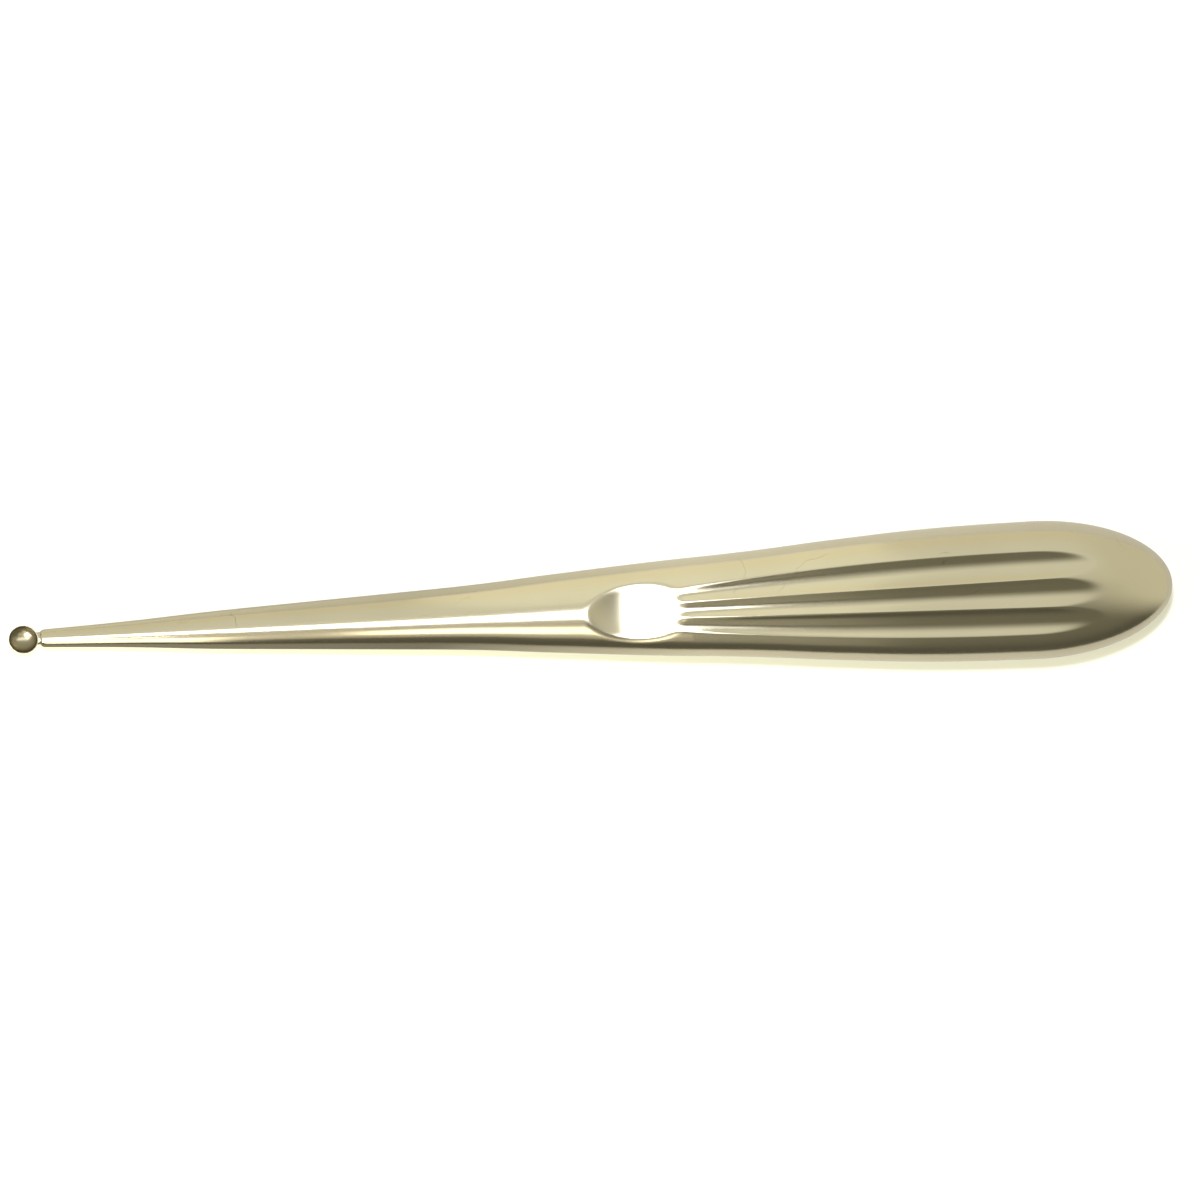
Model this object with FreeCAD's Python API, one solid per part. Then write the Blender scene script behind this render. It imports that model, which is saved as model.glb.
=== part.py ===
import FreeCAD, Part
import math
import os

from FreeCAD import Matrix, Vector

# Cup at the working end: a small round bowl that opens upwards
cup_length = 4.37
cup_width = 4.10
cup_depth = 2.0
cup_rim_height = 0.45
cup_rim_wall = 0.22
cup_floor_wall = 0.45

# Neck between the back of the cup and the blunt shoulder of the shaft
neck_length = 0.35
neck_width = 1.8
neck_thickness = 1.5

# Shaft: full width and thickness at even steps from the shoulder towards the handle
shaft_length = 75.28
shaft_widths = [2.62, 3.80, 5.48, 6.80, 8.09, 9.44]
shaft_thicknesses = [2.62, 3.80, 5.40, 6.50, 7.44, 8.04]
shoulder_radius = 0.5

# Handle: full width and thickness at even steps from the shaft to its widest section
handle_length = 70.0
handle_widths = [11.50, 13.62, 15.36, 17.72, 19.50, 20.10]
handle_thicknesses = [8.60, 9.44, 10.14, 10.76, 11.34, 11.84]
butt_length = 20.0

# Thumb rest: a shallow dish across each broad face, near the front of the handle
rest_setback = 12.3
rest_depth = 1.42
rest_length_radius = 20.3
rest_cross_radius = 45.0

# Flutes: three side by side on each broad face, from the thumb rest to the butt
flutes_setback = 20.0
middle_flute_front_width = 2.44
middle_flute_back_width = 4.12
flutes_front_width = 6.5
flutes_back_width = 12.16
flute_edge_angle = 33.0
flute_front_overrun = 5.0
flute_back_overrun = 14.0
crest_sink = 0.04

# Places along the tool, measured from the tip of the cup
shoulder_x = cup_length + neck_length
shaft_x = shoulder_x + shoulder_radius
handle_x = shoulder_x + shaft_length
rest_x = handle_x + rest_setback
flutes_x = handle_x + flutes_setback
widest_x = handle_x + handle_length

# An ellipse with half sizes of one, as control points of quarter arcs and their weights
ELLIPSE_POLES = [(1, 0), (1, 1), (0, 1), (-1, 1), (-1, 0), (-1, -1), (0, -1), (1, -1), (1, 0)]
ELLIPSE_WEIGHTS = [1, math.sqrt(0.5)] * 4 + [1]
ELLIPSE_KNOTS = [0, 1, 2, 3, 4]
ELLIPSE_MULTIPLICITIES = [3, 2, 2, 2, 3]
ELLIPSE_DEGREE = 2

# How finely the rounded ends and the flutes are followed, and the crests where the tool balances
QUARTER_STEPS = 6
FLUTE_STEPS = 5
BALANCE_REACH = 1.0


def even_places(start, length, steps):
    return [start + length * step / steps for step in range(steps + 1)]


def smooth_curve(points, parameters):
    curve = Part.BSplineCurve()
    curve.interpolate(Points=points, Parameters=parameters)
    return curve


def ellipse_surface(centres, half_sizes, parameters):
    """Surface through upright elliptical sections, each given by its centre and its half sizes."""
    middle = smooth_curve(centres, parameters)
    poles = []
    for centre, half in zip(middle.getPoles(), smooth_curve(half_sizes, parameters).getPoles()):
        poles.append([centre + Vector(0, half.y * across, half.z * up) for across, up in ELLIPSE_POLES])
    surface = Part.BSplineSurface()
    surface.buildFromPolesMultsKnots(
        poles, middle.getMultiplicities(), ELLIPSE_MULTIPLICITIES, middle.getKnots(), ELLIPSE_KNOTS,
        False, False, middle.Degree, ELLIPSE_DEGREE, [ELLIPSE_WEIGHTS] * len(poles))
    return surface


def skin_faces(surface, parameters):
    """The surface as one face for each span between neighbouring sections."""
    faces = []
    for start, end in zip(parameters, parameters[1:]):
        span = surface.copy()
        span.segment(start, end, ELLIPSE_KNOTS[0], ELLIPSE_KNOTS[-1])
        faces.append(span.toShape())
    return faces


def section_disc(surface, parameter):
    return Part.Face(Part.Wire(surface.uIso(parameter).toShape()))


def closed_solid(faces):
    shell = Part.makeShell(faces)
    shell.sewShape()
    return Part.makeSolid(Part.Shell(shell.Faces))


def turned_over(shape):
    return shape.mirror(Vector(0, 0, 0), Vector(0, 0, 1))


# Measured sections of the shaft and handle: their places and their half sizes
section_places = [shaft_x] + even_places(shoulder_x, shaft_length, len(shaft_widths))[1:-1]
section_places += even_places(handle_x, handle_length, len(handle_widths) - 1)
section_halves = [Vector(0, width / 2, thickness / 2) for width, thickness in zip(
    shaft_widths + handle_widths, shaft_thicknesses + handle_thicknesses)]
profile = smooth_curve(section_halves, section_places)


def shoulder_surface(angles):
    """Quarter round from the flat front end out to the first section of the shaft."""
    centres = [Vector(shaft_x - shoulder_radius * math.cos(angle), 0, 0) for angle in angles]
    insets = [Vector(0, shoulder_radius, shoulder_radius) * (1 - math.sin(angle)) for angle in angles]
    return ellipse_surface(centres, [section_halves[0] - inset for inset in insets], angles)


def bar():
    """The blank before its dishes and flutes: shoulder, shaft, handle and a butt like half an egg."""
    angles = even_places(0, math.pi / 2, QUARTER_STEPS)
    shoulder = shoulder_surface(angles)
    butt_centres = [Vector(widest_x + butt_length * math.sin(angle), 0, 0) for angle in angles[1:]]
    butt_halves = [section_halves[-1] * math.cos(angle) for angle in angles[1:]]
    places = section_places + [widest_x + butt_length * angle for angle in angles[1:]]
    centres = [Vector(x, 0, 0) for x in section_places] + butt_centres
    body = ellipse_surface(centres, section_halves + butt_halves, places)
    faces = [section_disc(shoulder, angles[0])] + skin_faces(shoulder, [angles[0], angles[-1]])
    return closed_solid(faces + skin_faces(body, section_places + [places[-1]]))


def crest_point(x, y):
    """Point just under the skin of the upper face, where two flutes meet."""
    half = profile.value(x)
    return Vector(x, y, half.z * math.sqrt(1 - (y / half.y) ** 2) - crest_sink)


def crest_offsets(x):
    """How far the inner and the outer crest lie from the middle line."""
    share = (x - flutes_x) / (widest_x - flutes_x)
    middle_width = middle_flute_front_width + (middle_flute_back_width - middle_flute_front_width) * share
    whole_width = flutes_back_width - (flutes_back_width - flutes_front_width) * (1 - share) ** 2
    return middle_width / 2, whole_width / 2


def flute_section(x, side):
    """Centre and radius of the round cutter that leaves one flute between its two crests."""
    inner, outer = crest_offsets(x)
    right, left = {-1: (-outer, -inner), 0: (-inner, inner), 1: (inner, outer)}[side]
    low, high = crest_point(x, right), crest_point(x, left)
    chord = high - low
    edge_angle = math.radians(flute_edge_angle)
    radius = chord.Length / 2 / math.sin(edge_angle)
    outward = Vector(0, -chord.z, chord.y).normalize()
    return (low + high) / 2 + outward * radius * math.cos(edge_angle), Vector(0, radius, radius)


def overrun(values, pitch):
    """The values with one more at each end, carried straight on past the flute."""
    before = values[0] + (values[0] - values[1]) * (flute_front_overrun / pitch)
    after = values[-1] + (values[-1] - values[-2]) * (flute_back_overrun / pitch)
    return [before, *values, after]


def flute_cutter(side):
    places = even_places(flutes_x, widest_x - flutes_x, FLUTE_STEPS)
    sections = [flute_section(x, side) for x in places]
    centres = overrun([centre for centre, radius in sections], places[1] - places[0])
    radii = overrun([radius for centre, radius in sections], places[1] - places[0])
    places = [centre.x for centre in centres]
    surface = ellipse_surface(centres, radii, places)
    discs = [section_disc(surface, places[0]), section_disc(surface, places[-1])]
    return closed_solid(skin_faces(surface, places) + discs)


def rest_cutter():
    """Barrel lying across the tool, whose belly leaves the dish of the thumb rest."""
    half = profile.value(rest_x)
    axle = Vector(rest_x, 0, half.z - rest_depth + rest_length_radius)
    reach = half.y + rest_depth
    end_radius = rest_length_radius - rest_cross_radius + math.sqrt(rest_cross_radius ** 2 - reach ** 2)
    right_axle, left_axle = axle - Vector(0, reach, 0), axle + Vector(0, reach, 0)
    right_rim, left_rim = [end - Vector(0, 0, end_radius) for end in (right_axle, left_axle)]
    belly = axle - Vector(0, 0, rest_length_radius)
    outline = Part.Wire([
        Part.makeLine(right_axle, right_rim),
        Part.Arc(right_rim, belly, left_rim).toShape(),
        Part.makeLine(left_rim, left_axle),
        Part.makeLine(left_axle, right_axle)])
    return Part.Face(outline).revolve(axle, Vector(0, 1, 0), 360)


def grooved_bar():
    cutters = [rest_cutter()] + [flute_cutter(side) for side in (-1, 0, 1)]
    return bar().cut(cutters + [turned_over(cutter) for cutter in cutters])


def ellipsoid(centre, half_length, half_width, half_height):
    stretch = Matrix()
    stretch.scale(half_length, half_width, half_height)
    ball = Part.makeSphere(1).transformGeometry(stretch)
    ball.translate(centre)
    return ball


def cup_and_neck():
    """Bowl cut off at its rim, joined to the shoulder by the neck, then hollowed."""
    rim_centre = Vector(cup_length / 2, 0, cup_rim_height)
    bowl = ellipsoid(rim_centre, cup_length / 2, cup_width / 2, cup_depth)
    above_rim = Part.makeBox(2 * cup_length, 2 * cup_width, 2 * cup_depth)
    above_rim.translate(rim_centre - Vector(cup_length, cup_width, 0))

    neck_start = rim_centre - Vector(0, 0, neck_thickness / 2)
    neck_side = neck_start + Vector(0, neck_width / 2, 0)
    neck_top = neck_start + Vector(0, 0, neck_thickness / 2)
    neck_section = Part.Face(Part.Wire(Part.Ellipse(neck_side, neck_top, neck_start).toShape()))
    neck = neck_section.extrude(Vector(shaft_x - neck_start.x, 0, 0))

    hollow = ellipsoid(rim_centre, cup_length / 2 - cup_rim_wall, cup_width / 2 - cup_rim_wall,
                       cup_depth - cup_floor_wall)
    return bowl.cut(above_rim).fuse(neck).cut(hollow)


def laid_down(tool):
    """The tool balanced on its lower inner crests, with the middle of its length over the origin."""
    balance_x = tool.CenterOfMass.x
    behind_x, ahead_x = balance_x - BALANCE_REACH, balance_x + BALANCE_REACH
    behind, contact, ahead = [crest_point(x, -crest_offsets(x)[0]) for x in (behind_x, balance_x, ahead_x)]
    slope = math.atan2(ahead.z - behind.z, ahead.x - behind.x)
    tool.rotate(Vector(0, 0, 0), Vector(0, 1, 0), -math.degrees(slope))
    resting_height = contact.z * math.cos(slope) - contact.x * math.sin(slope)
    middle = tool.optimalBoundingBox(False).Center
    tool.translate(Vector(-middle.x, -middle.y, resting_height))
    return tool


curette = laid_down(grooved_bar().fuse(cup_and_neck()).Solids[0])
os.makedirs("parts", exist_ok=True)
curette.exportStep("parts/bone_curette.step")
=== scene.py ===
import math

import bmesh
import bpy
from mathutils import Matrix, Vector


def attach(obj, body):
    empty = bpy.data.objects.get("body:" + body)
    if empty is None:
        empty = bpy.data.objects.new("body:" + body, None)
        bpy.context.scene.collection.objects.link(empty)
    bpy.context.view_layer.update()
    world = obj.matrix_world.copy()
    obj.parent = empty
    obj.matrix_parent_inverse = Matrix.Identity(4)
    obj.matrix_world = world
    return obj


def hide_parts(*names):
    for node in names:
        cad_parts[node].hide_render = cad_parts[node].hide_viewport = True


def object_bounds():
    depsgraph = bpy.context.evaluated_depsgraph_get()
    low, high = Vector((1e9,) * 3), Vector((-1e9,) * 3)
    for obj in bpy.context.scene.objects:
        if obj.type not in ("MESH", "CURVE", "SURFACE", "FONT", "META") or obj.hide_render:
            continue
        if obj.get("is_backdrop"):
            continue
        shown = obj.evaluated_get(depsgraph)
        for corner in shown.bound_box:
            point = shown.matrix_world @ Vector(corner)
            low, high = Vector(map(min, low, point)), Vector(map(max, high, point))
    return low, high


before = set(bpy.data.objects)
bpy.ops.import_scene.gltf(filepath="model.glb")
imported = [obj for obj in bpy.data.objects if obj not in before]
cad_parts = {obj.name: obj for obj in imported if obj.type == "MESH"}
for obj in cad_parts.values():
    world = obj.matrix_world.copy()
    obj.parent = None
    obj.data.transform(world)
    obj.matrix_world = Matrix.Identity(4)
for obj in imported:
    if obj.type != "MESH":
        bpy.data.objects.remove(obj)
cad_low, cad_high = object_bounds()


# Satin steel is the finish of the whole tool: stainless steel ground along its length on fine
# belts and then brushed, so that it is bright, slightly warm and faintly lined. Use has left
# a few fine hairlines in it.
steel_colour = (0.66, 0.61, 0.51, 1.0)
dull_steel_colour = (0.60, 0.555, 0.455, 1.0)
steel_roughness = 0.17
roughness_spread = 0.06
grain_stretch = (60.0, 2600.0, 2600.0)
grain_detail = 4.0
grain_depth = 0.0000012
cloud_scale = 90.0
cloud_detail = 3.0
hairline_scale = 75.0
hairline_width = 0.005
hairline_colour = (0.47, 0.43, 0.34, 1.0)
hairline_bend_scale = 280.0
hairline_bend_reach = (0.004, 0.004, 0.004)
used_patch_scale = 150.0
used_patch_edge = 0.56
used_patch_middle = 0.66
# The hollow of the cup gets a darker colour: painted shade
hollow_painted_shade_colour = (0.26, 0.235, 0.17, 1.0)
hollow_added_roughness = 0.12
hollow_edge = 0.985
hollow_inside = 0.95

satin_steel = bpy.data.materials.new("satin_steel")
satin_steel.use_nodes = True
steel_nodes = satin_steel.node_tree.nodes
steel_links = satin_steel.node_tree.links
steel_shader = steel_nodes["Principled BSDF"]
steel_shader.inputs["Metallic"].default_value = 1.0

steel_place = steel_nodes.new("ShaderNodeTexCoord")
grain_place = steel_nodes.new("ShaderNodeMapping")
grain_place.inputs["Scale"].default_value = grain_stretch
steel_links.new(steel_place.outputs["Object"], grain_place.inputs["Vector"])
grain = steel_nodes.new("ShaderNodeTexNoise")
grain.inputs["Scale"].default_value = 1.0
grain.inputs["Detail"].default_value = grain_detail
steel_links.new(grain_place.outputs["Vector"], grain.inputs["Vector"])
clouds = steel_nodes.new("ShaderNodeTexNoise")
clouds.inputs["Scale"].default_value = cloud_scale
clouds.inputs["Detail"].default_value = cloud_detail
steel_links.new(steel_place.outputs["Object"], clouds.inputs["Vector"])

steel_tone = steel_nodes.new("ShaderNodeMix")
steel_tone.data_type = "RGBA"
steel_tone.inputs["A"].default_value = steel_colour
steel_tone.inputs["B"].default_value = dull_steel_colour
steel_links.new(clouds.outputs["Fac"], steel_tone.inputs["Factor"])

# Hairlines: a sparse net of thin, bent scratches, a little darker than the steel
hairline_bend = steel_nodes.new("ShaderNodeTexNoise")
hairline_bend.inputs["Scale"].default_value = hairline_bend_scale
steel_links.new(steel_place.outputs["Object"], hairline_bend.inputs["Vector"])
hairline_place = steel_nodes.new("ShaderNodeVectorMath")
hairline_place.operation = "MULTIPLY_ADD"
hairline_place.inputs[1].default_value = hairline_bend_reach
steel_links.new(hairline_bend.outputs["Color"], hairline_place.inputs[0])
steel_links.new(steel_place.outputs["Object"], hairline_place.inputs[2])
hairline_net = steel_nodes.new("ShaderNodeTexVoronoi")
hairline_net.feature = "DISTANCE_TO_EDGE"
hairline_net.inputs["Scale"].default_value = hairline_scale
steel_links.new(hairline_place.outputs["Vector"], hairline_net.inputs["Vector"])
hairline_edge = steel_nodes.new("ShaderNodeMapRange")
hairline_edge.inputs["From Min"].default_value = hairline_width
hairline_edge.inputs["From Max"].default_value = 0.0
steel_links.new(hairline_net.outputs["Distance"], hairline_edge.inputs["Value"])
used_places = steel_nodes.new("ShaderNodeTexNoise")
used_places.inputs["Scale"].default_value = used_patch_scale
steel_links.new(steel_place.outputs["Object"], used_places.inputs["Vector"])
used_share = steel_nodes.new("ShaderNodeMapRange")
used_share.inputs["From Min"].default_value = used_patch_edge
used_share.inputs["From Max"].default_value = used_patch_middle
steel_links.new(used_places.outputs["Fac"], used_share.inputs["Value"])
hairlines = steel_nodes.new("ShaderNodeMath")
hairlines.operation = "MULTIPLY"
steel_links.new(hairline_edge.outputs["Result"], hairlines.inputs[0])
steel_links.new(used_share.outputs["Result"], hairlines.inputs[1])
scratched_tone = steel_nodes.new("ShaderNodeMix")
scratched_tone.data_type = "RGBA"
scratched_tone.inputs["B"].default_value = hairline_colour
steel_links.new(hairlines.outputs["Value"], scratched_tone.inputs["Factor"])
steel_links.new(steel_tone.outputs["Result"], scratched_tone.inputs["A"])

# The hollow of the cup is rougher than the ground outside, and darker in colour: painted shade in the hollow
from_cup = steel_nodes.new("ShaderNodeVectorMath")
from_cup.operation = "SUBTRACT"
steel_links.new(steel_place.outputs["Object"], from_cup.inputs[0])
in_cup_sizes = steel_nodes.new("ShaderNodeVectorMath")
in_cup_sizes.operation = "DIVIDE"
steel_links.new(from_cup.outputs["Vector"], in_cup_sizes.inputs[0])
cup_distance = steel_nodes.new("ShaderNodeVectorMath")
cup_distance.operation = "LENGTH"
steel_links.new(in_cup_sizes.outputs["Vector"], cup_distance.inputs[0])
in_hollow = steel_nodes.new("ShaderNodeMapRange")
in_hollow.inputs["From Min"].default_value = hollow_edge
in_hollow.inputs["From Max"].default_value = hollow_inside
steel_links.new(cup_distance.outputs["Value"], in_hollow.inputs["Value"])
hollow_painted_shade_mix = steel_nodes.new("ShaderNodeMix")
hollow_painted_shade_mix.data_type = "RGBA"
hollow_painted_shade_mix.inputs["B"].default_value = hollow_painted_shade_colour
steel_links.new(in_hollow.outputs["Result"], hollow_painted_shade_mix.inputs["Factor"])
steel_links.new(scratched_tone.outputs["Result"], hollow_painted_shade_mix.inputs["A"])
steel_links.new(hollow_painted_shade_mix.outputs["Result"], steel_shader.inputs["Base Color"])

dullness = steel_nodes.new("ShaderNodeMapRange")
dullness.inputs["To Min"].default_value = steel_roughness - roughness_spread / 2
dullness.inputs["To Max"].default_value = steel_roughness + roughness_spread / 2
steel_links.new(grain.outputs["Fac"], dullness.inputs["Value"])
hollow_dullness = steel_nodes.new("ShaderNodeMath")
hollow_dullness.operation = "MULTIPLY_ADD"
hollow_dullness.inputs[1].default_value = hollow_added_roughness
steel_links.new(in_hollow.outputs["Result"], hollow_dullness.inputs[0])
steel_links.new(dullness.outputs["Result"], hollow_dullness.inputs[2])
steel_links.new(hollow_dullness.outputs["Value"], steel_shader.inputs["Roughness"])

grain_bump = steel_nodes.new("ShaderNodeBump")
grain_bump.inputs["Distance"].default_value = grain_depth
steel_links.new(grain.outputs["Fac"], grain_bump.inputs["Height"])
steel_links.new(grain_bump.outputs["Normal"], steel_shader.inputs["Normal"])


# The bar is all of the tool behind its neck: one forging, thin and nearly round in front, swelling
# to a teardrop handle. The dies press a dish for the thumb and three flutes into both broad faces,
# and the crests between them are polished round. Places run in metres from the tip of the cup.
shoulder_place = 0.00472
shoulder_radius = 0.0005
shaft_start = shoulder_place + shoulder_radius
shaft_length = 0.07528
shaft_widths = [0.00262, 0.00380, 0.00548, 0.00680, 0.00809, 0.00944]
shaft_heights = [0.00262, 0.00380, 0.00540, 0.00650, 0.00744, 0.00804]
handle_start = shoulder_place + shaft_length
handle_length = 0.070
handle_widths = [0.01150, 0.01362, 0.01536, 0.01772, 0.01950, 0.02010]
handle_heights = [0.00860, 0.00944, 0.01014, 0.01076, 0.01134, 0.01184]
widest_place = handle_start + handle_length
butt_length = 0.020
butt_end = widest_place + butt_length
rest_setback = 0.0113
rest_place = handle_start + rest_setback
flutes_setback = 0.020
flutes_start = handle_start + flutes_setback
run_in_lead = 0.0025
run_in_start = flutes_start - run_in_lead
flute_front_overrun = 0.005
flute_back_overrun = 0.010
crest_sink = 0.00004
cutter_step = 0.010
clear_above = 0.02
flattening_setback = 0.004
flattening_start = handle_start + flattening_setback
flattening_run = 0.016
handle_fullness = 2.35
flute_edge_angle = math.radians(36)
thinnest_waved = 0.001
merge_distance = 0.0000001

shaft_steps = len(shaft_widths)
shaft_places = [shoulder_place + shaft_length * step / shaft_steps for step in range(1, shaft_steps)]
handle_steps = len(handle_widths) - 1
handle_places = [handle_start + handle_length * step / handle_steps for step in range(handle_steps + 1)]
section_places = [shaft_start] + shaft_places + handle_places

# Each stretch of the bar ends at a place and has so many rings, closest together in the dish and
# where the flutes run out. Columns cover the flank, an outer flute and half the middle flute.
dish_front = handle_start + 0.0035
dish_back = flutes_start + 0.0015
run_out_start = widest_place - 0.002
run_out_end = widest_place + 0.0105
ring_stretches = [
    (shaft_start, 9), (dish_front, 62), (dish_back, 132),
    (run_out_start, 46), (run_out_end, 46), (butt_end, 30)]
flank_columns = 20
flute_columns = 22
middle_columns = 14
quarter_columns = flank_columns + flute_columns + middle_columns
pole_gap = 0.0001


class Amount:
    """A number that differs over the skin, worked out by math nodes."""

    def __init__(self, socket):
        self.socket = socket
        self.tree = socket.node.id_data

    def reckon(self, operation, *others):
        node = self.tree.nodes.new("ShaderNodeMath")
        node.operation = operation
        for entry, value in zip(node.inputs, (self, *others)):
            if isinstance(value, Amount):
                self.tree.links.new(value.socket, entry)
            else:
                entry.default_value = value
        return Amount(node.outputs["Value"])

    def __add__(self, other):
        return self.reckon("ADD", other)

    def __sub__(self, other):
        return self.reckon("SUBTRACT", other)

    def __rsub__(self, other):
        return self.reckon("MULTIPLY_ADD", -1.0, other)

    def __mul__(self, other):
        return self.reckon("MULTIPLY", other)

    def __truediv__(self, other):
        return self.reckon("DIVIDE", other)

    def root(self):
        return self.reckon("MAXIMUM", 0.0).reckon("SQRT")

    def held(self, lowest, highest):
        return self.reckon("MAXIMUM", lowest).reckon("MINIMUM", highest)

    def blended_under(self, other, rounding):
        return self.reckon("SMOOTH_MIN", other, rounding)

    def height_of_section(self, fullness):
        """Height of a section at this share of its half width. A fullness of 2 is an ellipse."""
        below = (1.0 - self.reckon("POWER", fullness)).reckon("MAXIMUM", 0.0)
        return below.reckon("POWER", fullness.reckon("POWER", -1.0))


def new_tree(name, inputs, outputs):
    """A node tree with named numbers going in and out, and its numbers by name."""
    tree = bpy.data.node_groups.new(name, "GeometryNodeTree")
    for label, value in inputs.items():
        socket = tree.interface.new_socket(label, in_out="INPUT", socket_type="NodeSocketFloat")
        socket.default_value = value
    for label, kind in outputs.items():
        tree.interface.new_socket(label, in_out="OUTPUT", socket_type=kind)
    entries = tree.nodes.new("NodeGroupInput").outputs
    results = tree.nodes.new("NodeGroupOutput").inputs
    return tree, {label: Amount(entries[label]) for label in inputs}, results


def put_out(entries, **amounts):
    for label, amount in amounts.items():
        entry = entries[label.replace("_", " ")]
        amount.tree.links.new(amount.socket, entry)


def from_group(group, amount, **values):
    """The numbers that a finished tree gives where it is used in the tree of that amount."""
    node = amount.tree.nodes.new("GeometryNodeGroup")
    node.node_tree = group
    for label, value in {"Place": amount, **values}.items():
        entry = node.inputs[label.replace("_", " ")]
        if isinstance(value, Amount):
            amount.tree.links.new(value.socket, entry)
        else:
            entry.default_value = value
    return [Amount(output) for output in node.outputs]


def read_curve(amount, points, handles):
    """The height of a curve through those points, which lie in a unit square, at that amount."""
    node = amount.tree.nodes.new("ShaderNodeFloatCurve")
    curve = node.mapping.curves[0]
    for across, up in points[1:-1]:
        curve.points.new(across, up)
    curve.points[0].location = points[0]
    curve.points[-1].location = points[-1]
    for point in curve.points:
        point.handle_type = handles
    node.mapping.update()
    amount.tree.links.new(amount.socket, node.inputs["Value"])
    return Amount(node.outputs["Value"])


# Half width, half height and fullness of the plain bar at a place along it
section_sizes, entries, results = new_tree(
    "section_sizes", {"Place": 0.0},
    dict.fromkeys(["Half Width", "Half Height", "Fullness"], "NodeSocketFloat"))
place = entries["Place"]
measured_run = widest_place - shaft_start
share = ((place - shaft_start) / measured_run).held(0.0, 1.0)
beyond = (place - widest_place).held(0.0, butt_length) / butt_length
before = (shaft_start - place).held(0.0, shoulder_radius) / shoulder_radius
butt_round = (1.0 - beyond * beyond).root()
shoulder_inset = (1.0 - (1.0 - before * before).root()) * shoulder_radius
halves = []
for sizes in (shaft_widths + handle_widths, shaft_heights + handle_heights):
    largest = max(sizes)
    points = [((x - shaft_start) / measured_run, size / largest) for x, size in zip(section_places, sizes)]
    halves.append(read_curve(share, points, "AUTO") * (largest / 2) * butt_round - shoulder_inset)
fullness = ((place - flattening_start) / flattening_run).held(0.0, 1.0) * (handle_fullness - 2.0) + 2.0
put_out(results, Half_Width=halves[0], Half_Height=halves[1], Fullness=fullness)


# How far the inner and the outer crest lie from the middle line
crest_sizes = {
    "Middle Flute Front Width": 0.00244, "Middle Flute Back Width": 0.00412,
    "Flutes Front Width": 0.0065, "Flutes Back Width": 0.01216}
crest_offsets, entries, results = new_tree(
    "crest_offsets", {"Place": 0.0, **crest_sizes}, {"Inner": "NodeSocketFloat", "Outer": "NodeSocketFloat"})
share = (entries["Place"] - flutes_start) / (widest_place - flutes_start)
front, back = entries["Middle Flute Front Width"], entries["Middle Flute Back Width"]
inner = (front + (back - front) * share) * 0.5
front, back = entries["Flutes Front Width"], entries["Flutes Back Width"]
outer = (back - (back - front) * (1.0 - share) * (1.0 - share)) * 0.5
put_out(results, Inner=inner, Outer=outer)


def crest_values(entries):
    """The crest sizes that a tree is given, ready to hand on to a tree inside it."""
    return {label.replace(" ", "_"): entries[label] for label in crest_sizes}


# The round cutters that leave the middle flute and an outer flute between their crests
cutter_outputs = ["Middle Height", "Middle Radius", "Outer Offset", "Outer Height", "Outer Radius"]
flute_cutters, entries, results = new_tree(
    "flute_cutters", {"Place": 0.0, **crest_sizes}, dict.fromkeys(cutter_outputs, "NodeSocketFloat"))
place = entries["Place"]
half_width, half_height, fullness = from_group(section_sizes, place)
inner, outer = from_group(crest_offsets, place, **crest_values(entries))
inner_height, outer_height = [
    (offset / half_width).height_of_section(fullness) * half_height - crest_sink for offset in (inner, outer)]
middle_radius = inner / math.sin(flute_edge_angle)
across, fall = outer - inner, inner_height - outer_height
chord = (across * across + fall * fall).root()
outer_radius = chord * (0.5 / math.sin(flute_edge_angle))
lift = outer_radius * math.cos(flute_edge_angle)
put_out(
    results, Middle_Height=inner_height + middle_radius * math.cos(flute_edge_angle),
    Middle_Radius=middle_radius, Outer_Offset=(inner + outer) * 0.5 + fall / chord * lift,
    Outer_Height=(inner_height + outer_height) * 0.5 + across / chord * lift, Outer_Radius=outer_radius)


# The forging itself: a grid wrapped round the bar, lowered to the dish and the flutes
forging_sizes = {
    **crest_sizes, "Rest Depth": 0.00108, "Rest Length Radius": 0.0232, "Rest Cross Radius": 0.045,
    "Rest Rounding": 0.0005, "Run In Depth": 0.00022, "Run In Length": 0.009, "Crest Land": 0.0001,
    "Crest Rounding": 0.0004, "Front Rounding": 0.0005,
    "Hand Waviness": 0.000012, "Waviness Length": 0.012, "Waviness Seed": 4.0}
forging, entries, results = new_tree("forging", forging_sizes, {"Geometry": "NodeSocketGeometry"})
forging_nodes, forging_links = forging.nodes, forging.links
ring_count = sum(rings for end, rings in ring_stretches) + 1
skin_grid = forging_nodes.new("GeometryNodeMeshGrid")
skin_grid.inputs["Size X"].default_value = 1.0
skin_grid.inputs["Size Y"].default_value = 1.0
skin_grid.inputs["Vertices X"].default_value = ring_count
skin_grid.inputs["Vertices Y"].default_value = 4 * quarter_columns + 1
grid_spot = forging_nodes.new("GeometryNodeInputPosition")
grid_place = forging_nodes.new("ShaderNodeSeparateXYZ")
forging_links.new(grid_spot.outputs["Position"], grid_place.inputs["Vector"])
along = Amount(grid_place.outputs["X"]) + 0.5
around = Amount(grid_place.outputs["Y"]) + 0.5

# The even rings of the grid are spread along the bar, stretch by stretch
bar_length = butt_end - shoulder_place
ring_points = [(0.0, 0.0)]
rings_so_far = 0
for end, rings in ring_stretches:
    rings_so_far += rings
    ring_points.append((rings_so_far / (ring_count - 1), (end - shoulder_place) / bar_length))
station = read_curve(along, ring_points, "VECTOR") * bar_length + shoulder_place
before = (shaft_start - station).held(0.0, shoulder_radius) / shoulder_radius
beyond = (station - widest_place).held(0.0, butt_length) / butt_length
place = (station.held(shaft_start, widest_place) - (before * (math.pi / 2)).reckon("SINE") * shoulder_radius
         + (beyond * (math.pi / 2)).reckon("SINE") * butt_length)
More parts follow.
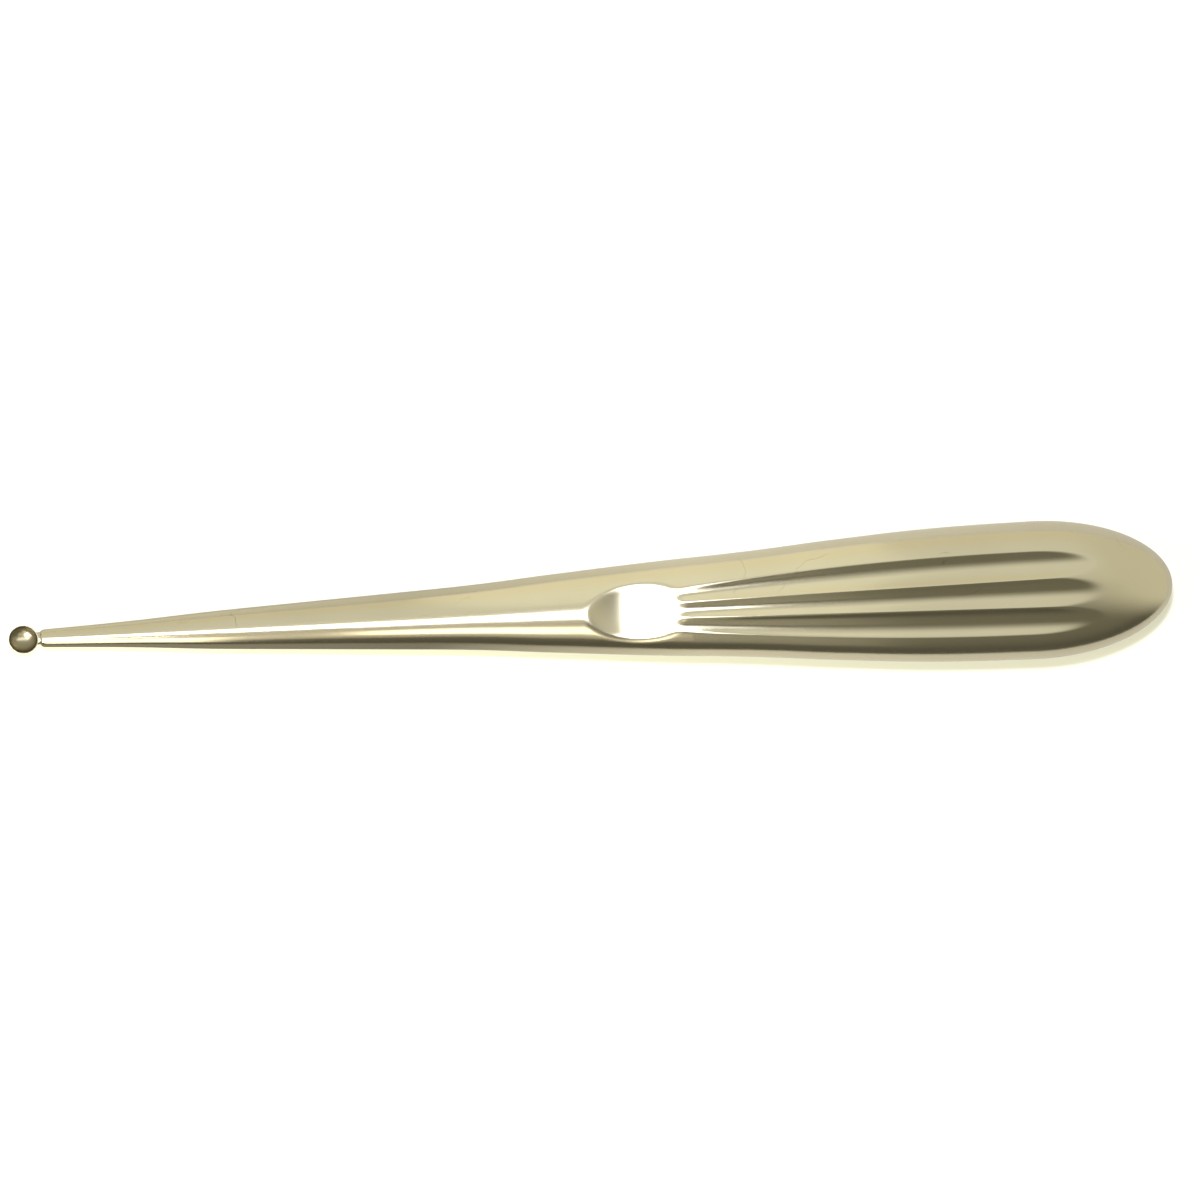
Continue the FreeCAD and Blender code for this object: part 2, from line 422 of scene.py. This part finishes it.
# The first and the last ring close to a point
open_ring = along.reckon("GREATER_THAN", pole_gap) * along.reckon("LESS_THAN", 1 - pole_gap)

# Columns turn round the bar so that four of them run along the crests of each broad face
crest_place = place.held(flutes_start - flute_front_overrun, widest_place + flute_back_overrun)
crest_half_width = from_group(section_sizes, crest_place)[0]
inner, outer = from_group(crest_offsets, crest_place, **crest_values(entries))
inner_angle = (inner / crest_half_width).reckon("ARCCOSINE")
outer_angle = (outer / crest_half_width).reckon("ARCCOSINE")
lap = around * 4.0
fold = lap.reckon("PINGPONG", 1.0) * quarter_columns
flank_share = (fold / flank_columns).held(0.0, 1.0)
flute_share = ((fold - flank_columns) / flute_columns).held(0.0, 1.0)
middle_share = ((fold - flank_columns - flute_columns) / middle_columns).held(0.0, 1.0)
flank_turn = (flank_share * (math.pi / 2)).reckon("SINE")
flute_turn = 0.5 - (flute_share * math.pi).reckon("COSINE") * 0.5
middle_turn = 1.0 - (middle_share * (math.pi / 2)).reckon("COSINE")
angle = (outer_angle * flank_turn + (inner_angle - outer_angle) * flute_turn
         + (math.pi / 2 - inner_angle) * middle_turn)

half_width, half_height, fullness = from_group(section_sizes, place)
across = angle.reckon("COSINE").held(0.0, 1.0)
offset = across * half_width * open_ring
height = across.height_of_section(fullness) * half_height * open_ring

# The beds of the flutes are where the cutters pass, carried straight on beyond both ends
cut_place = place.held(flutes_start, widest_place)
middle_place = (flutes_start + widest_place) / 2
next_place = cut_place + (cut_place.reckon("LESS_THAN", middle_place) * 2.0 - 1.0) * cutter_step
overrun = (place - cut_place).reckon("ABSOLUTE") / cutter_step
here = from_group(flute_cutters, cut_place, **crest_values(entries))
further = from_group(flute_cutters, next_place, **crest_values(entries))
middle_height, middle_radius, outer_offset, outer_height, outer_radius = [
    value + (value - next_value) * overrun for value, next_value in zip(here, further)]
off_cut = place.reckon("LESS_THAN", flutes_start - flute_front_overrun) * clear_above
run_in = (1.0 - (place - run_in_start) / entries["Run In Length"]).held(0.0, 1.0)
raised = run_in * run_in * entries["Run In Depth"] + entries["Crest Land"] + off_cut
middle_bed = middle_height - (middle_radius * middle_radius - offset * offset).root() + raised
aside = offset - outer_offset
outer_bed = outer_height - (outer_radius * outer_radius - aside * aside).root() + raised

# The bed of the dish is the belly of a barrel that lies across the bar
rest_length_radius, rest_cross_radius = entries["Rest Length Radius"], entries["Rest Cross Radius"]
rest_half_height = from_group(section_sizes, place * 0.0 + rest_place)[1]
axle_height = rest_half_height - entries["Rest Depth"] + rest_length_radius
belly_reach = (rest_cross_radius * rest_cross_radius - offset * offset).root()
barrel_radius = belly_reach + rest_length_radius - rest_cross_radius
from_axle = place - rest_place
rest_bed = axle_height - (barrel_radius * barrel_radius - from_axle * from_axle).root()

# The skin is the lowest of bar, flutes and dish, rounded where they meet
crest_rounding = run_in * entries["Front Rounding"] + entries["Crest Rounding"]
height = height.blended_under(middle_bed, crest_rounding)
height = height.blended_under(outer_bed, crest_rounding)
height = height.blended_under(rest_bed, entries["Rest Rounding"])
upper = around.reckon("LESS_THAN", 0.5) * 2.0 - 1.0
over_right = lap.reckon("GREATER_THAN", 1.0) * lap.reckon("LESS_THAN", 3.0) * 2.0 - 1.0

# Grinding by hand leaves the skin faintly wavy
spot = forging_nodes.new("ShaderNodeCombineXYZ")
for entry, amount in zip(spot.inputs, (place, offset * over_right, height * upper)):
    forging_links.new(amount.socket, entry)
waves = forging_nodes.new("ShaderNodeTexNoise")
waves.noise_dimensions = "4D"
waves.inputs["Detail"].default_value = 0.0
forging_links.new(spot.outputs["Vector"], waves.inputs["Vector"])
forging_links.new(entries["Waviness Seed"].socket, waves.inputs["W"])
forging_links.new(entries["Waviness Length"].reckon("POWER", -1.0).socket, waves.inputs["Scale"])
wave_height = (Amount(waves.outputs["Fac"]) - 0.5) * entries["Hand Waviness"]
swell = wave_height / half_height.reckon("MAXIMUM", thinnest_waved) + 1.0
skin_spot = forging_nodes.new("ShaderNodeCombineXYZ")
for entry, amount in zip(skin_spot.inputs, (place, offset * over_right * swell, height * upper * swell)):
    forging_links.new(amount.socket, entry)

shape = skin_grid.outputs["Mesh"]
for kind, settings in (
        ("GeometryNodeSetPosition", {"Position": skin_spot.outputs["Vector"]}),
        ("GeometryNodeMergeByDistance", {"Distance": merge_distance}),
        ("GeometryNodeSetShadeSmooth", {}),
        ("GeometryNodeRealizeInstances", {}),
        ("GeometryNodeSetMaterial", {"Material": satin_steel})):
    step = forging_nodes.new(kind)
    forging_links.new(shape, step.inputs[0])
    for label, value in settings.items():
        if isinstance(value, bpy.types.NodeSocket):
            forging_links.new(value, step.inputs[label])
        else:
            step.inputs[label].default_value = value
    shape = step.outputs[0]
forging_links.new(shape, results["Geometry"])

bar = bpy.data.objects.new("bone_curette_skin", bpy.data.meshes.new("bar"))
bpy.context.scene.collection.objects.link(bar)
forge = bar.modifiers.new("forge", "NODES")
forge.node_group = forging
for item in forging.interface.items_tree:
    if item.in_out == "INPUT":
        forge[item.identifier] = forging_sizes[item.name]
forged = bar.evaluated_get(bpy.context.evaluated_depsgraph_get())
bar.data = bpy.data.meshes.new_from_object(forged)
bar.modifiers.remove(forge)

# The first slot is an empty one, and the steel has the second
bar.data.materials.pop(index=0)


# The cup is the scraping end: a small round bowl that opens upwards, with a thin ground rim. A very
# short neck carries it on the blunt front of the bar. All three are one piece of steel.
cup_half_length = 0.00437 / 2
cup_half_width = 0.00410 / 2
cup_depth = 0.0020
cup_rim_height = 0.00045
cup_floor_wall = 0.00045
rim_edge_radius = 0.00004
cup_columns = 96
bowl_rings = 28
rim_steps = 8
neck_half_width = 0.0009
neck_half_height = 0.00075
neck_columns = 48
neck_rings = 14
neck_flare = 0.00022
neck_drop = 0.00006


def lathe_ring(mesh, radius_share, half_length, half_width, height):
    """One ring of a bowl that is a little longer than it is wide."""
    ring = []
    for column in range(cup_columns):
        turn = 2 * math.pi * column / cup_columns
        ring.append(mesh.verts.new((
            cup_half_length + half_length * radius_share * math.cos(turn),
            half_width * radius_share * math.sin(turn), cup_rim_height + height)))
    return ring


def skin_between(mesh, rings):
    for ring, next_ring in zip(rings, rings[1:]):
        for index, corner in enumerate(ring):
            after = (index + 1) % len(ring)
            mesh.faces.new((corner, ring[after], next_ring[after], next_ring[index]))


def close_ring(mesh, ring, middle):
    """A fan of faces from a ring to one point in the middle of it."""
    pole = mesh.verts.new(middle)
    for index, corner in enumerate(ring):
        mesh.faces.new((corner, ring[(index + 1) % len(ring)], pole))


cup_mesh = bmesh.new()
cup_rings = []
for step in range(1, bowl_rings + 1):
    turn = math.pi / 2 * step / bowl_rings
    cup_rings.append(lathe_ring(
        cup_mesh, math.sin(turn), cup_half_length, cup_half_width,
        -rim_edge_radius - (cup_depth - rim_edge_radius) * math.cos(turn)))
for step in range(1, rim_steps + 1):
    turn = math.pi * step / rim_steps
    shift = rim_edge_radius * (math.cos(turn) - 1.0)
    cup_rings.append(lathe_ring(
        cup_mesh, 1.0, cup_half_length + shift, cup_half_width + shift,
        rim_edge_radius * math.sin(turn) - rim_edge_radius))
for step in range(1, bowl_rings):
    turn = math.pi / 2 * (1 - step / bowl_rings)
    cup_rings.append(lathe_ring(
        cup_mesh, math.sin(turn), cup_half_length - 2 * rim_edge_radius, cup_half_width - 2 * rim_edge_radius,
        -rim_edge_radius - (cup_depth - cup_floor_wall - rim_edge_radius) * math.cos(turn)))
skin_between(cup_mesh, cup_rings)
for ring, height in ((cup_rings[0], -cup_depth), (cup_rings[-1], cup_floor_wall - cup_depth)):
    close_ring(cup_mesh, ring, (cup_half_length, 0.0, cup_rim_height + height))


def finished_object(name, mesh):
    """A smooth steel object from a mesh that is built, with its faces turned outwards."""
    bmesh.ops.recalc_face_normals(mesh, faces=mesh.faces)
    for face in mesh.faces:
        face.smooth = True
    made = bpy.data.objects.new(name, bpy.data.meshes.new(name))
    mesh.to_mesh(made.data)
    mesh.free()
    made.data.materials.append(satin_steel)
    bpy.context.scene.collection.objects.link(made)
    return made


def grown_onto(body, addition):
    """One closed skin round two pieces that run into each other."""
    joining = body.modifiers.new("one_piece", "BOOLEAN")
    joining.operation = "UNION"
    joining.solver = "EXACT"
    joining.object = addition
    joined = body.evaluated_get(bpy.context.evaluated_depsgraph_get())
    body.data = bpy.data.meshes.new_from_object(joined)
    body.modifiers.remove(joining)
    bpy.data.objects.remove(addition)


cup = finished_object("cup", cup_mesh)

neck_mesh = bmesh.new()
neck_end = shaft_start
neck_middle = -neck_half_height - neck_drop
wall_middle = 1.0 - rim_edge_radius / cup_half_length
wall_depth = cup_depth - cup_floor_wall / 2
neck_skin = []
for ring in range(neck_rings + 1):
    corners = []
    for column in range(neck_columns):
        turn = 2 * math.pi * column / neck_columns
        y = neck_half_width * math.cos(turn)
        z = neck_middle + neck_half_height * math.sin(turn)
        in_wall = 1.0 - (y / (cup_half_width * wall_middle)) ** 2 - (z / wall_depth) ** 2
        start = cup_half_length * (1.0 + wall_middle * math.sqrt(in_wall))
        x = start + (neck_end - start) * ring / neck_rings
        near_shoulder = max(0.0, 1.0 - abs(x - shoulder_place) / neck_flare)
        spread = 1.0 + neck_flare / neck_half_width * (1.0 - math.sqrt(1.0 - near_shoulder ** 2))
        corners.append(neck_mesh.verts.new((
            x, y * spread, cup_rim_height + neck_middle + (z - neck_middle) * spread)))
    neck_skin.append(corners)
skin_between(neck_mesh, neck_skin)
buried_start = cup_half_length * (1.0 + wall_middle * math.sqrt(1.0 - (neck_middle / wall_depth) ** 2))
for ring, x in ((neck_skin[0], buried_start), (neck_skin[-1], neck_end)):
    close_ring(neck_mesh, ring, (x, 0.0, cup_rim_height + neck_middle))
neck = finished_object("neck", neck_mesh)
grown_onto(cup, neck)
grown_onto(bar, cup)


# The finished tool lies where its frame lies: tip and butt are the frame's two ends
sharp_edge_angle = math.radians(40)
cad_corners = [vertex.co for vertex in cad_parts["bone_curette"].data.vertices]
cad_tip = min(cad_corners, key=lambda corner: corner.x)
cad_butt = max(cad_corners, key=lambda corner: corner.x)
lean = math.atan2(cad_butt.z - (cad_tip.z - cup_rim_height), cad_butt.x - cad_tip.x)
bar.data.transform(Matrix.Rotation(-lean, 4, "Y"))
skin_low = Vector([min(vertex.co[axis] for vertex in bar.data.vertices) for axis in range(3)])
skin_high = Vector([max(vertex.co[axis] for vertex in bar.data.vertices) for axis in range(3)])
shift = (cad_low + cad_high - skin_low - skin_high) / 2
shift.z = cad_low.z - skin_low.z
bar.data.transform(Matrix.Translation(shift))
bar.data.set_sharp_from_angle(angle=sharp_edge_angle)
rim_centre = Matrix.Rotation(-lean, 4, "Y") @ Vector((cup_half_length, 0.0, cup_rim_height)) + shift
from_cup.inputs[1].default_value = rim_centre
in_cup_sizes.inputs[1].default_value = (cup_half_length, cup_half_width, cup_depth)
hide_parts("bone_curette")
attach(bar, "root")


# The studio: a white table under a long white lamp, in a room that is white overhead, cream on the
# far side and dark on the near side. The steel mirrors all of it, and the table it mirrors carries a
# painted shadow below the near side of the shaft. The camera looks down through a long lens.
image_width = 0.1748
image_roll = math.radians(2.91)
image_pixels = 1200
middle_from_left = 589.2 / image_pixels
middle_from_top = 612.65 / image_pixels
camera_distance = 1.0
camera_tilt = math.radians(5.0)
table_half = 0.2
table_white = (0.42, 0.41, 0.26, 1.0)
# Painted shadow: the table as the steel mirrors it, darker below the near side of the shaft
table_shadow_in_steel = (0.12, 0.115, 0.075, 1.0)
table_glow = (0.49, 0.485, 0.415, 1.0)
darker_from = 0.015
darkest_from = -0.025
darker_far_side = 0.006
darker_near_side = -0.004
far_side_share = 0.4
white_overhead = (0.88, 0.87, 0.68, 1.0)
cream_wall = (0.88, 0.83, 0.58, 1.0)
butt_wall = (0.80, 0.77, 0.56, 1.0)
dark_high = (0.20, 0.19, 0.13, 1.0)
dark_low = (0.12, 0.115, 0.08, 1.0)
overhead_blend = (0.35, 0.75)
butt_wall_blend = (0.15, 0.45)
dark_side_blend = (0.2, 0.7)
side_blend = (-0.30, 0.35)
side_spread_at_ends = 0.7
background_white = (1.0, 1.0, 1.0, 1.0)
lit_height = 0.008
white_light = (1.0, 1.0, 1.0)
cream_light = (1.0, 0.95, 0.72)
cup_light = (1.0, 0.96, 0.84)
shaft_light = (1.0, 0.93, 0.70)
far_light = (1.0, 0.97, 0.70)
bluish_light = (0.56, 0.57, 1.0)

table = bpy.data.objects.new("table", bpy.data.meshes.new("table"))
table.data.from_pydata(
    [(-table_half, -table_half, 0), (table_half, -table_half, 0),
     (table_half, table_half, 0), (-table_half, table_half, 0)], [], [(0, 1, 2, 3)])
bpy.context.scene.collection.objects.link(table)
table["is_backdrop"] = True

# The table glows for the camera alone, and its darker part, a painted shadow below the near side of the
# shaft, is there for the steel alone
white_table = bpy.data.materials.new("white_table")
white_table.use_nodes = True
table_nodes, table_links = white_table.node_tree.nodes, white_table.node_tree.links
table_shader = table_nodes["Principled BSDF"]
table_shader.inputs["Roughness"].default_value = 1.0
table_shader.inputs["Specular IOR Level"].default_value = 0.0
table_shader.inputs["Emission Color"].default_value = table_glow
table_ray = table_nodes.new("ShaderNodeLightPath")
table_links.new(table_ray.outputs["Is Camera Ray"], table_shader.inputs["Emission Strength"])
table_place = table_nodes.new("ShaderNodeSeparateXYZ")
table_links.new(table_nodes.new("ShaderNodeTexCoord").outputs["Object"], table_place.inputs["Vector"])
under_shaft = table_nodes.new("ShaderNodeMapRange")
under_shaft.inputs["From Min"].default_value = darker_from
under_shaft.inputs["From Max"].default_value = darkest_from
table_links.new(table_place.outputs["X"], under_shaft.inputs["Value"])
near_side = table_nodes.new("ShaderNodeMapRange")
near_side.inputs["From Min"].default_value = darker_far_side
near_side.inputs["From Max"].default_value = darker_near_side
near_side.inputs["To Min"].default_value = far_side_share
table_links.new(table_place.outputs["Y"], near_side.inputs["Value"])
painted_shadow_share = table_nodes.new("ShaderNodeMath")
painted_shadow_share.operation = "MULTIPLY"
table_links.new(under_shaft.outputs["Result"], painted_shadow_share.inputs[0])
table_links.new(near_side.outputs["Result"], painted_shadow_share.inputs[1])
painted_shadow_in_steel = table_nodes.new("ShaderNodeMath")
painted_shadow_in_steel.operation = "SUBTRACT"
painted_shadow_in_steel.use_clamp = True
table_links.new(painted_shadow_share.outputs["Value"], painted_shadow_in_steel.inputs[0])
table_links.new(table_ray.outputs["Is Camera Ray"], painted_shadow_in_steel.inputs[1])
table_tone = table_nodes.new("ShaderNodeMix")
table_tone.data_type = "RGBA"
table_tone.inputs["A"].default_value = table_white
table_tone.inputs["B"].default_value = table_shadow_in_steel
table_links.new(painted_shadow_in_steel.outputs["Value"], table_tone.inputs["Factor"])
table_links.new(table_tone.outputs["Result"], table_shader.inputs["Base Color"])
table.data.materials.append(white_table)

room = bpy.data.worlds.new("room")
bpy.context.scene.world = room
room.use_nodes = True
room_nodes, room_links = room.node_tree.nodes, room.node_tree.links
room_way = room_nodes.new("ShaderNodeSeparateXYZ")
room_links.new(room_nodes.new("ShaderNodeTexCoord").outputs["Generated"], room_way.inputs["Vector"])


def room_share(socket, start, end):
    """A share that runs smoothly between two values of a direction's part."""
    ramp = room_nodes.new("ShaderNodeMapRange")
    ramp.interpolation_type = "SMOOTHSTEP"
    ramp.inputs["From Min"].default_value = start
    ramp.inputs["From Max"].default_value = end
    room_links.new(socket, ramp.inputs["Value"])
    return ramp.outputs["Result"]


def room_mix(share, first, second):
    mix = room_nodes.new("ShaderNodeMix")
    mix.data_type = "RGBA"
    room_links.new(share, mix.inputs["Factor"])
    for label, value in (("A", first), ("B", second)):
        if isinstance(value, bpy.types.NodeSocket):
            room_links.new(value, mix.inputs[label])
        else:
            mix.inputs[label].default_value = value
    return mix.outputs["Result"]


bright_side = room_mix(room_share(room_way.outputs["Z"], *overhead_blend), cream_wall, white_overhead)
bright_side = room_mix(room_share(room_way.outputs["X"], *butt_wall_blend), bright_side, butt_wall)
dark_side = room_mix(room_share(room_way.outputs["Z"], *dark_side_blend), dark_low, dark_high)
to_ends = room_nodes.new("ShaderNodeMath")
to_ends.operation = "ABSOLUTE"
room_links.new(room_way.outputs["X"], to_ends.inputs[0])
near_edge = room_nodes.new("ShaderNodeMath")
near_edge.operation = "MULTIPLY_ADD"
near_edge.inputs[1].default_value = side_spread_at_ends
room_links.new(to_ends.outputs["Value"], near_edge.inputs[0])
room_links.new(room_way.outputs["Y"], near_edge.inputs[2])
room_colour = room_mix(room_share(near_edge.outputs["Value"], *side_blend), dark_side, bright_side)
room_light = room_nodes["Background"]
room_links.new(room_colour, room_light.inputs["Color"])
white_view = room_nodes.new("ShaderNodeBackground")
white_view.inputs["Color"].default_value = background_white
room_ray = room_nodes.new("ShaderNodeLightPath")
room_surface = room_nodes.new("ShaderNodeMixShader")
room_links.new(room_ray.outputs["Is Camera Ray"], room_surface.inputs["Fac"])
room_links.new(room_light.outputs["Background"], room_surface.inputs[1])
room_links.new(white_view.outputs["Background"], room_surface.inputs[2])
room_links.new(room_surface.outputs["Shader"], room_nodes["World Output"].inputs["Surface"])


def add_lamp(name, middle, target, size, radiance, colour):
    """A soft rectangular lamp, aimed at a point, that the steel mirrors and the camera can't see."""
    light = bpy.data.lights.new(name, "AREA")
    light.shape = "RECTANGLE"
    light.size, light.size_y = size
    light.energy = radiance * math.pi * size[0] * size[1]
    light.color = colour
    lamp = bpy.data.objects.new(name, light)
    bpy.context.scene.collection.objects.link(lamp)
    lamp.location = middle
    lamp.rotation_mode = "QUATERNION"
    lamp.rotation_quaternion = (Vector(target) - Vector(middle)).to_track_quat("-Z", "Y")
    lamp.visible_camera = False
    return lamp


add_lamp("overhead_lamp", (-0.073, -0.0105, 0.125), (-0.073, -0.0105, 0.0), (0.174, 0.032), 5.0, white_light)
add_lamp("near_lamp", (-0.034, -0.096, 0.123), (-0.034, 0.0, lit_height), (0.042, 0.046), 2.4, cream_light)
add_lamp("tip_lamp", (-0.097, -0.126, 0.085), (-0.097, 0.0, lit_height), (0.028, 0.09), 2.4, cream_light)
add_lamp("cup_lamp", (-0.136, -0.056, 0.094), (-0.083, 0.0, lit_height), (0.06, 0.06), 16.0, cup_light)
add_lamp("shaft_lamp", (-0.09, -0.155, 0.204), (-0.09, 0.0, lit_height), (0.16, 0.20), 0.45, shaft_light)
add_lamp("far_lamp", (0.003, 0.075, 0.12), (0.003, 0.0, 0.12), (0.07, 0.24), 0.25, far_light)
add_lamp("flute_lamp", (0.016, -0.13, 0.14), (0.016, 0.0, lit_height), (0.03, 0.14), 0.18, cream_light)

# A bluish lamp high behind the tool turns the table white and leaves the tool's shadow pale yellow.
# The steel doesn't mirror it.
shadow_lamp = add_lamp("shadow_lamp", (0.0, 0.27, 0.92), (0.0, 0.0, 0.0), (0.08, 0.08), 860.0, bluish_light)
shadow_lamp.visible_glossy = False

lens = bpy.data.cameras.new("long_lens")
camera = bpy.data.objects.new("camera", lens)
bpy.context.scene.collection.objects.link(camera)
bpy.context.scene.camera = camera
lens.sensor_width = 36.0
lens.lens = lens.sensor_width * camera_distance / image_width
lens.clip_start = 0.05
image_right = Vector((math.cos(image_roll), -math.sin(image_roll), 0.0))
image_up = Vector((math.sin(image_roll), math.cos(image_roll), 0.0))
looked_at = (image_right * (0.5 - middle_from_left) + image_up * (middle_from_top - 0.5)) * image_width
looked_at.z = (cad_low.z + cad_high.z) / 2
back = Vector((0, 0, 1)) * math.cos(camera_tilt) + image_up * math.sin(camera_tilt)
up = image_up * math.cos(camera_tilt) - Vector((0, 0, 1)) * math.sin(camera_tilt)
camera.matrix_world = Matrix.Translation(looked_at + back * camera_distance) @ Matrix(
    (image_right, up, back)).transposed().to_4x4()

bpy.context.scene.view_settings.view_transform = "Standard"

skin_low, skin_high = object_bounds()
